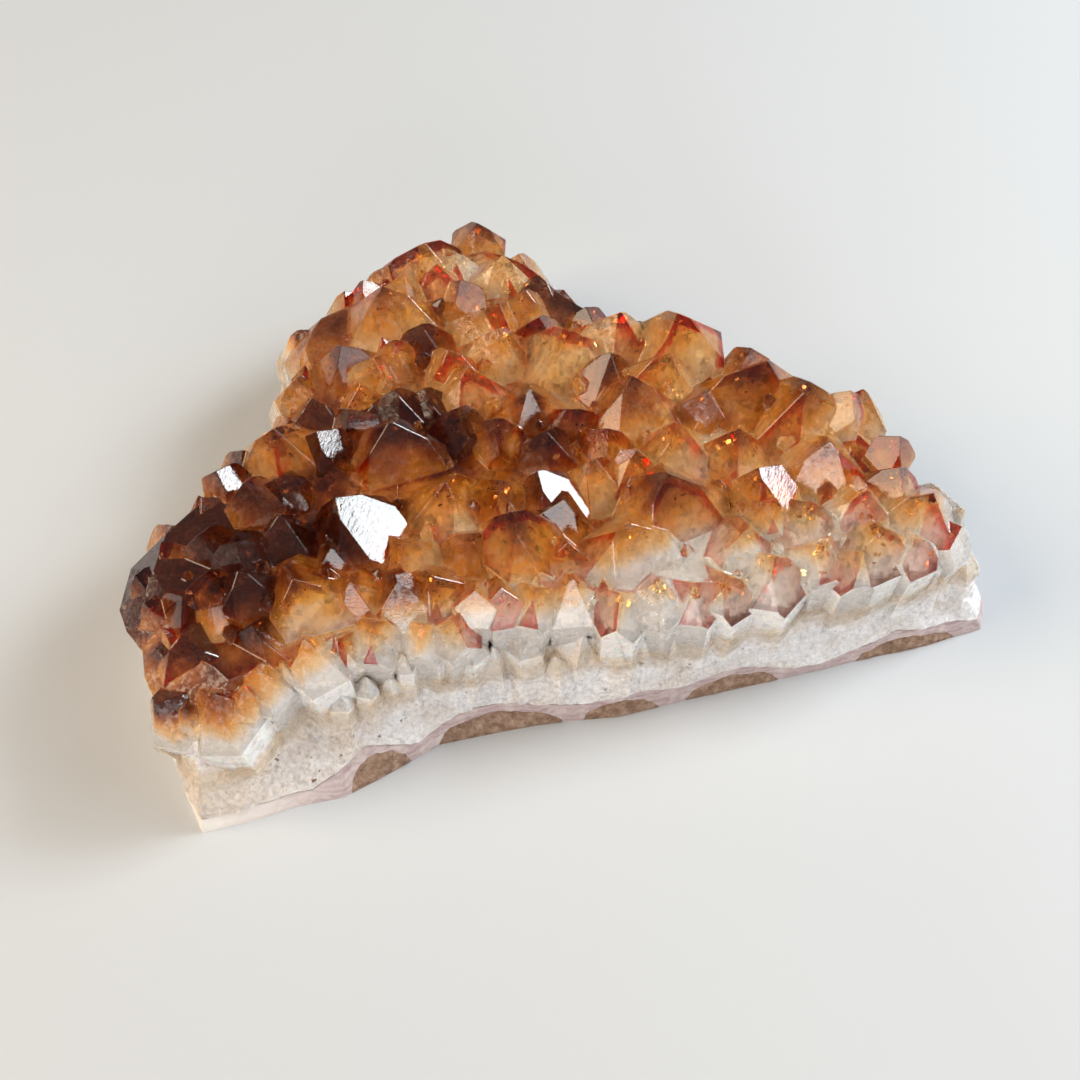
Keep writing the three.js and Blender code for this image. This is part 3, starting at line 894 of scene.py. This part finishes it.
# %% Node helpers
class Nodes:
    """The nodes of a material or a group, with short ways to add and join them."""

    def __init__(self, tree):
        self.tree = tree

    def add(self, kind, **settings):
        node = self.tree.nodes.new(kind)
        for name, value in settings.items():
            setattr(node, name, value)
        return node

    def put(self, value, socket):
        if hasattr(value, "is_linked"):
            self.tree.links.new(value, socket)
        elif isinstance(value, tuple) and len(value) == 3 and socket.type == "RGBA":
            socket.default_value = (*value, 1)
        else:
            socket.default_value = value

    def place(self):
        return self.add("ShaderNodeTexCoord").outputs["Object"]

    def attribute(self, name):
        return self.add("ShaderNodeAttribute", attribute_name=name).outputs["Fac"]

    def noise(self, size, detail=3.0, roughness=0.55, distortion=0.0, stretch=None):
        node = self.add("ShaderNodeTexNoise")
        node.inputs["Scale"].default_value = 1 / size
        node.inputs["Detail"].default_value = detail
        node.inputs["Roughness"].default_value = roughness
        node.inputs["Distortion"].default_value = distortion
        place = self.place()
        if stretch:
            mapping = self.add("ShaderNodeMapping")
            mapping.inputs["Scale"].default_value = stretch
            self.put(place, mapping.inputs["Vector"])
            place = mapping.outputs["Vector"]
        self.put(place, node.inputs["Vector"])
        return node.outputs["Fac"]

    def axis(self, name):
        """The X, Y or Z of the place on the piece."""
        node = self.add("ShaderNodeSeparateXYZ")
        self.put(self.place(), node.inputs[0])
        return node.outputs[name]

    def chips(self, size):
        """A cell pattern in which each cell has its own shade."""
        node = self.add("ShaderNodeTexVoronoi")
        node.inputs["Scale"].default_value = 1 / size
        self.put(self.place(), node.inputs["Vector"])
        return node.outputs["Color"]

    def math(self, operation, first, second=0.0, clamp=False):
        node = self.add("ShaderNodeMath", operation=operation, use_clamp=clamp)
        self.put(first, node.inputs[0])
        self.put(second, node.inputs[1])
        return node.outputs[0]

    def ramp(self, value, *stops):
        """A colour or a grey for each value, from stops of a position and what is there."""
        node = self.add("ShaderNodeValToRGB")
        elements = node.color_ramp.elements
        while len(elements) < len(stops):
            elements.new(0.5)
        for element, (position, colour) in zip(elements, stops):
            element.position = position
            element.color = (*colour, 1) if isinstance(colour, tuple) else (colour, colour, colour, 1)
        self.put(value, node.inputs["Fac"])
        return node.outputs["Color"]

    def mix(self, share, first, second, blend="MIX"):
        node = self.add("ShaderNodeMix", data_type="RGBA", blend_type=blend)
        self.put(share, node.inputs[0])
        self.put(first, node.inputs[6])
        self.put(second, node.inputs[7])
        return node.outputs[2]

    def bump(self, height, strength, distance, normal=None):
        node = self.add("ShaderNodeBump")
        node.inputs["Strength"].default_value = strength
        node.inputs["Distance"].default_value = distance
        self.put(height, node.inputs["Height"])
        if normal:
            self.put(normal, node.inputs["Normal"])
        return node.outputs["Normal"]


def new_material(name):
    """A material, its nodes and its shader, the Principled BSDF that it starts with."""
    material = bpy.data.materials.new(name)
    material.use_nodes = True
    print("material:", name)
    return material, Nodes(material.node_tree), material.node_tree.nodes["Principled BSDF"]


# %% [markdown]
# Broken quartz glitters because every grain is a small mirror that faces its own way.
# The glitter group gives each cell of a cell pattern its own slightly turned normal.


# %% Glitter group
def make_glitter():
    group = bpy.data.node_groups.new("glitter", "ShaderNodeTree")
    for name, kind, side in (("Cells per metre", "NodeSocketFloat", "INPUT"),
                             ("Turn", "NodeSocketFloat", "INPUT"),
                             ("Normal", "NodeSocketVector", "OUTPUT")):
        group.interface.new_socket(name, in_out=side, socket_type=kind)
    nodes = Nodes(group)
    given = nodes.add("NodeGroupInput")
    cell = nodes.add("ShaderNodeTexVoronoi")
    nodes.put(nodes.place(), cell.inputs["Vector"])
    nodes.put(given.outputs["Cells per metre"], cell.inputs["Scale"])
    centred = nodes.add("ShaderNodeVectorMath", operation="SUBTRACT")
    nodes.put(cell.outputs["Color"], centred.inputs[0])
    centred.inputs[1].default_value = (0.5, 0.5, 0.5)
    turned = nodes.add("ShaderNodeVectorMath", operation="SCALE")
    nodes.put(centred.outputs[0], turned.inputs[0])
    nodes.put(given.outputs["Turn"], turned.inputs["Scale"])
    added = nodes.add("ShaderNodeVectorMath", operation="ADD")
    nodes.put(turned.outputs[0], added.inputs[0])
    nodes.put(nodes.add("ShaderNodeNewGeometry").outputs["Normal"], added.inputs[1])
    unit = nodes.add("ShaderNodeVectorMath", operation="NORMALIZE")
    nodes.put(added.outputs[0], unit.inputs[0])
    result = nodes.add("NodeGroupOutput")
    nodes.put(unit.outputs[0], result.inputs["Normal"])
    return group


glitter_group = make_glitter()
print("the glitter group has", len(glitter_group.nodes), "nodes")


def glitter(nodes, cell_size, turn):
    """The normal of small mirrors of that size, each turned by up to that much."""
    node = nodes.add("ShaderNodeGroup", node_tree=glitter_group)
    node.inputs["Cells per metre"].default_value = 1 / cell_size
    node.inputs["Turn"].default_value = turn
    return node.outputs["Normal"]


# %% [markdown]
# Clear citrine is a see-through material: full transmission, the index of quartz and
# a tint. The tint is dark red brown at a tip, amber below it and pale at the root.
# Absorption inside deepens the colour where the crystal is thick. Some faces are a
# little etched, each by its own number, so roughness rises there.

# %% Citrine
TIP_REACH = 15 * MM
MILKY_DEPTH = 10 * MM
TIP_SHARE = 0.07
ZONE_PULL = 0.3
DARK_PULL = 0.1
CLOUD_SIZE = 5 * MM
CLOUD_PULL = 0.5
TONE_PULL = 0.5
QUARTZ_IOR = 1.55
AMBER_INSIDE = (1.0, 0.66, 0.30, 1)
AMBER_DENSITY = 40.0
ETCHED_COLOUR = (0.98, 0.86, 0.78)

# The tint from a dark tip, at 0, to the milky root, at 1
CLEAR_TINT = (
    (0.0, (0.10, 0.025, 0.012)),
    (0.10, (0.28, 0.085, 0.03)),
    (0.24, (0.62, 0.25, 0.06)),
    (0.42, (0.95, 0.49, 0.11)),
    (0.70, (1.0, 0.72, 0.32)),
    (1.0, (1.0, 0.96, 0.91)),
)


def share_below_tip(nodes, wander=CLOUD_PULL, own_tone=TONE_PULL):
    """0 at a dark tip and 1 at the root, moved by the zones and by clouds in the stone."""
    share = nodes.math("DIVIDE", nodes.attribute("below_tip"), TIP_REACH)
    cloud = nodes.math("SUBTRACT", nodes.noise(CLOUD_SIZE, 2.0), 0.5)
    share = nodes.math("ADD", share, nodes.math("MULTIPLY", cloud, wander))
    # The zones are partly the stone's colour and partly painted shade and painted light.
    zone = nodes.attribute("zone")
    dark_zone = nodes.math("MINIMUM", zone, 0.0)
    share = nodes.math("ADD", share, nodes.math("MULTIPLY", zone, ZONE_PULL))
    share = nodes.math("ADD", share, nodes.math("MULTIPLY", dark_zone, DARK_PULL))
    if own_tone:
        tone = nodes.math("SUBTRACT", nodes.attribute("tone"), 0.5)
        share = nodes.math("ADD", share, nodes.math("MULTIPLY", tone, own_tone))
    milky = nodes.math("DIVIDE", nodes.attribute("into_milk"), MILKY_DEPTH)
    share = nodes.math("ADD", share, nodes.math("MAXIMUM", milky, 0.0))
    return nodes.math("ADD", share, TIP_SHARE, clamp=True)


def citrine_material():
    material, nodes, shader = new_material("citrine")
    share = share_below_tip(nodes)
    facet = nodes.attribute("facet")
    frost = nodes.math("ADD", share, nodes.math("MULTIPLY", facet, 0.7))
    frost = nodes.math("ADD", frost, nodes.math("MULTIPLY", nodes.noise(3 * MM, 2.0), 0.6))
    frost = nodes.ramp(frost, (0.0, 0.0), (0.90, 0.0), (1.0, 0.6))
    etched = nodes.ramp(nodes.noise(1.8 * MM, 2.0, 0.6), (0.52, 0.0), (0.64, 0.5))
    frost = nodes.math("MAXIMUM", frost, nodes.math("MULTIPLY", etched, facet))
    tint = nodes.mix(nodes.math("MULTIPLY", frost, 0.35), nodes.ramp(share, *CLEAR_TINT), ETCHED_COLOUR)
    nodes.put(tint, shader.inputs["Base Color"])
    nodes.put(nodes.ramp(frost, (0.0, 0.03), (1.0, 0.38)), shader.inputs["Roughness"])
    steps = nodes.noise(1.6 * MM, 2.0, 0.6, 0.4, (1.0, 1.0, 4.0))
    nodes.put(nodes.bump(steps, 0.12, 0.25 * MM), shader.inputs["Normal"])
    shader.inputs["IOR"].default_value = QUARTZ_IOR
    shader.inputs["Transmission Weight"].default_value = 1.0
    absorption = nodes.add("ShaderNodeVolumeAbsorption")
    absorption.inputs["Color"].default_value = AMBER_INSIDE
    absorption.inputs["Density"].default_value = AMBER_DENSITY
    output = material.node_tree.nodes["Material Output"]
    nodes.put(absorption.outputs["Volume"], output.inputs["Volume"])
    return material


citrine = citrine_material()
print("clear citrine:", len(citrine.node_tree.nodes), "nodes")

# %% [markdown]
# Where a point isn't clear it is milky, in three grades. Cloudy tips are smooth and let
# most of the light through. Frosted sides have growth steps and tiny pits, so half of it
# comes back from the surface. The foot is nearly white, and light wanders under its
# skin. One function makes all three, with grains that glitter and pale patches that are
# partly dust and partly painted sheen and painted glints.


# %% Cloudy, frosted and milky citrine
DUST_AND_SHEEN_COLOUR = (0.98, 0.82, 0.67)
UNDER_SKIN_RADIUS = (1.0, 0.5, 0.22)
UNDER_SKIN_REACH = 2.5 * MM
MILKY_TINT = (
    (0.0, (0.09, 0.02, 0.012)),
    (0.10, (0.21, 0.05, 0.02)),
    (0.24, (0.47, 0.13, 0.03)),
    (0.42, (0.88, 0.35, 0.06)),
    (0.70, (0.99, 0.64, 0.32)),
    (1.0, (0.97, 0.93, 0.90)),
)


def milky_material(name, transmission, under_skin, smooth, rough, dust_and_sheen, turn, relief):
    """Citrine that lets that share of the light through. Pale patches of dust with painted sheen and
    glints, turn and relief whiten it.
    """
    material, nodes, shader = new_material(name)
    share = share_below_tip(nodes)
    # Pale patches: partly dust, partly painted sheen and painted glints of the lights.
    dust_and_sheen_share = nodes.ramp(nodes.noise(1.4 * MM, 4.0, 0.8), (0.50, 0.0), (0.66, dust_and_sheen))
    dust_and_sheen_share = nodes.math("MULTIPLY", dust_and_sheen_share, nodes.ramp(share, (0.08, 0.1), (0.4, 1.0)))
    colour = nodes.mix(dust_and_sheen_share, nodes.ramp(share, *MILKY_TINT), DUST_AND_SHEEN_COLOUR)
    nodes.put(colour, shader.inputs["Base Color"])
    polish = nodes.ramp(nodes.noise(2 * MM, 2.0), (0.35, smooth), (0.65, rough))
    nodes.put(polish, shader.inputs["Roughness"])
    steps = nodes.noise(1.1 * MM, 3.0, 0.65, 0.0, (1.0, 1.0, 3.0))
    bumps = nodes.bump(steps, relief, 0.25 * MM, glitter(nodes, 0.8 * MM, turn))
    nodes.put(bumps, shader.inputs["Normal"])
    shader.inputs["IOR"].default_value = QUARTZ_IOR
    shader.inputs["Transmission Weight"].default_value = transmission
    shader.inputs["Subsurface Weight"].default_value = under_skin
    shader.inputs["Subsurface Radius"].default_value = UNDER_SKIN_RADIUS
    shader.inputs["Subsurface Scale"].default_value = UNDER_SKIN_REACH
    return material


cloudy = milky_material("cloudy_citrine", transmission=0.78, under_skin=0.0, smooth=0.03,
                        rough=0.16, dust_and_sheen=0.45, turn=0.05, relief=0.1)
frosted = milky_material("frosted_citrine", transmission=0.55, under_skin=0.0, smooth=0.10,
                         rough=0.34, dust_and_sheen=0.55, turn=0.45, relief=0.5)
milky = milky_material("milky_citrine", transmission=0.15, under_skin=0.3, smooth=0.14,
                       rough=0.36, dust_and_sheen=0.3, turn=0.6, relief=0.7)
finish_piece(crystals, [citrine, cloudy, frosted, milky], ["quartz_crystals"])

# %% [markdown]
# The heart is opaque and pale, since the skin above it already gives the amber. Cells of
# two sizes, each with its own shade and its own turned normal, stand for its grains.


# %% Milky quartz of the heart
HEART_TINT = (
    (0.0, (0.40, 0.18, 0.10)),
    (0.12, (0.72, 0.42, 0.20)),
    (0.28, (1.0, 0.76, 0.42)),
    (0.50, (1.0, 0.88, 0.64)),
    (0.90, (1.0, 0.96, 0.92)),
)


def heart_material():
    material, nodes, shader = new_material("milky_quartz_heart")
    share = share_below_tip(nodes, 0.6, 0.0)
    chips = nodes.math("MULTIPLY", nodes.chips(2.1 * MM), 0.6)
    chips = nodes.math("ADD", chips, nodes.math("MULTIPLY", nodes.chips(0.9 * MM), 0.4))
    chips = nodes.ramp(chips, (0.2, 0.45), (0.5, 1.0))
    colour = nodes.mix(0.6, nodes.ramp(share, *HEART_TINT), chips, "MULTIPLY")
    nodes.put(colour, shader.inputs["Base Color"])
    shader.inputs["Roughness"].default_value = 0.3
    nodes.put(glitter(nodes, 1.1 * MM, 0.9), shader.inputs["Normal"])
    return material


finish_piece(heart, [heart_material()])

# %% [markdown]
# A crack film mirrors the light inside the stone, so it is metallic and pale gold.


# %% Crack films
FILM_GOLD = (1.0, 0.70, 0.30)
FILM_PALE = (1.0, 0.90, 0.70)


def flake_material():
    material, nodes, shader = new_material("crack_film")
    tone = nodes.ramp(nodes.noise(4 * MM, 2.0), (0.35, FILM_GOLD), (0.65, FILM_PALE))
    nodes.put(tone, shader.inputs["Base Color"])
    shader.inputs["Metallic"].default_value = 1.0
    nodes.put(nodes.ramp(nodes.noise(0.8 * MM), (0.3, 0.12), (0.7, 0.42)), shader.inputs["Roughness"])
    return material


finish_piece(flakes, [flake_material()])

# %% [markdown]
# The wall is white and grainy, a little stained, with brown specks. It glitters. Its
# alpha falls to nothing towards the top, so it gives way to the clear points unevenly.


# %% Sugary quartz
FADE_HEIGHT = 7 * MM
WALL_WHITE = (0.98, 0.95, 0.95)
WALL_STAIN = (0.80, 0.69, 0.60)
WALL_SPECK = (0.20, 0.09, 0.05)
WALL_GOLD = (1.0, 0.76, 0.50)
STAIN_BEGINS = 30 * MM
LEFT_STAIN = 0.75


def wall_material():
    material, nodes, shader = new_material("sugary_quartz")
    stain = nodes.ramp(nodes.noise(9 * MM, 5.0, 0.6), (0.45, 0.0), (0.72, 1.0))
    left = nodes.math("ADD", nodes.axis("X"), STAIN_BEGINS)
    left = nodes.math("DIVIDE", left, -STAIN_BEGINS, clamp=True)
    stain = nodes.math("ADD", stain, nodes.math("MULTIPLY", left, LEFT_STAIN), clamp=True)
    colour = nodes.mix(stain, WALL_WHITE, WALL_STAIN)
    grain = nodes.ramp(nodes.noise(0.9 * MM, 4.0, 0.8), (0.36, 0.74), (0.60, 1.0))
    colour = nodes.mix(1.0, colour, grain, "MULTIPLY")
    streaks = nodes.ramp(nodes.noise(1.3 * MM, 3.0, 0.6, 0.3, (1.0, 1.0, 0.22)), (0.3, 0.90), (0.6, 1.0))
    colour = nodes.mix(1.0, colour, streaks, "MULTIPLY")
    specks = nodes.ramp(nodes.noise(1.5 * MM, 2.0, 0.5), (0.71, 0.0), (0.75, 1.0))
    colour = nodes.mix(specks, colour, WALL_SPECK)
    fade = nodes.math("DIVIDE", nodes.attribute("above_wall"), FADE_HEIGHT)
    fade = nodes.math("ADD", fade, nodes.noise(3.5 * MM, 4.0, 0.65))
    gold = nodes.ramp(fade, (0.0, 0.0), (1.0, 1.0))
    nodes.put(nodes.mix(gold, colour, WALL_GOLD), shader.inputs["Base Color"])
    shader.inputs["Roughness"].default_value = 0.38
    nodes.put(nodes.ramp(fade, (0.1, 1.0), (1.0, 0.0)), shader.inputs["Alpha"])
    bumps = nodes.bump(nodes.noise(0.5 * MM, 4.0, 0.7), 0.5, 0.2 * MM, glitter(nodes, 0.6 * MM, 0.8))
    nodes.put(bumps, shader.inputs["Normal"])
    return material


finish_piece(wall, [wall_material()])

# %% [markdown]
# The agate band is a thin lilac grey layer with fine curved bands, and the rocks are
# brown and grainy. Each is a copy of its solid, grown until it closes the narrow gap
# that the solids leave between pieces, split finely and roughened.

# %% Growing and roughening them
CLOSE_GAP = 0.26 * MM
CUT_FACE = 0.4 * MM
DRESS_ROUNDS = 6


def dress(node, name, step, lumps, strength):
    """A copy of a solid, split to that step and roughened. Its cut face stays flat."""
    piece = copy_of_solid(node, name)
    split_long_edges(piece, step, DRESS_ROUNDS)
    above = piece.vertex_groups.new(name="above_the_cut_face")
    above.add([corner.index for corner in piece.data.vertices if corner.co.z > CUT_FACE], 1.0, "ADD")
    modify(piece, "DISPLACE", strength=CLOSE_GAP, mid_level=0.0, vertex_group=above.name)
    roughen(piece, name, lumps, strength, vertex_group=above.name)
    return piece


agate = dress("agate_band", "agate_layer", 1.6 * MM, 2 * MM, 0.25 * MM)
print("agate:", len(agate.data.polygons), "faces")

# %% [markdown]
# Agate grows in layers that follow the wall of the hollow. Height, moved by noise, goes
# back and forth between three greys. On the left the band is milky, as in the photo.


# %% Agate
LAYER = 2.2 * MM
LAYER_WANDER = 2.2
AGATE_GREYS = ((0.0, (0.40, 0.28, 0.28)), (0.5, (0.55, 0.43, 0.43)), (1.0, (0.46, 0.33, 0.32)))
AGATE_MILK = (0.90, 0.83, 0.76)
AGATE_MILK_FROM = 48 * MM
AGATE_MILK_OVER = 22 * MM


def agate_material():
    material, nodes, shader = new_material("agate")
    layer = nodes.math("DIVIDE", nodes.axis("Z"), LAYER)
    layer = nodes.math("ADD", layer, nodes.math("MULTIPLY", nodes.noise(5 * MM, 3.0), LAYER_WANDER))
    layer = nodes.math("PINGPONG", layer, 0.5)
    greys = nodes.ramp(nodes.math("MULTIPLY", layer, 2.0), *AGATE_GREYS)
    milk = nodes.math("ADD", nodes.axis("X"), AGATE_MILK_FROM)
    milk = nodes.math("DIVIDE", milk, -AGATE_MILK_OVER, clamp=True)
    cloud = nodes.ramp(nodes.noise(3 * MM, 3.0, 0.6), (0.45, 0.0), (0.75, 0.5))
    milk = nodes.math("MAXIMUM", milk, cloud)
    nodes.put(nodes.mix(milk, greys, AGATE_MILK), shader.inputs["Base Color"])
    shader.inputs["Roughness"].default_value = 0.42
    nodes.put(nodes.bump(nodes.noise(0.7 * MM, 4.0), 0.4, 0.2 * MM), shader.inputs["Normal"])
    return material


finish_piece(agate, [agate_material()], ["agate_band"])

# %% [markdown]
# The rock is what the geode grew in: brown, dull and grainy. Each scrap is its own piece.


# %% Brown rock
ROCK_BROWNS = ((0.3, (0.14, 0.08, 0.05)), (0.5, (0.30, 0.18, 0.12)), (0.7, (0.50, 0.36, 0.27)))


def rock_material():
    material, nodes, shader = new_material("brown_rock")
    browns = nodes.ramp(nodes.noise(1.6 * MM, 5.0, 0.7), *ROCK_BROWNS)
    nodes.put(browns, shader.inputs["Base Color"])
    shader.inputs["Roughness"].default_value = 0.85
    nodes.put(nodes.bump(nodes.noise(0.6 * MM, 5.0, 0.7), 0.8, 0.3 * MM), shader.inputs["Normal"])
    return material


rock = rock_material()
for node in sorted(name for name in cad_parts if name.startswith("host_rock")):
    scrap = dress(node, node.replace("host_rock", "rock_scrap"), 0.9 * MM, 1.8 * MM, 0.8 * MM)
    finish_piece(scrap, [rock], [node])
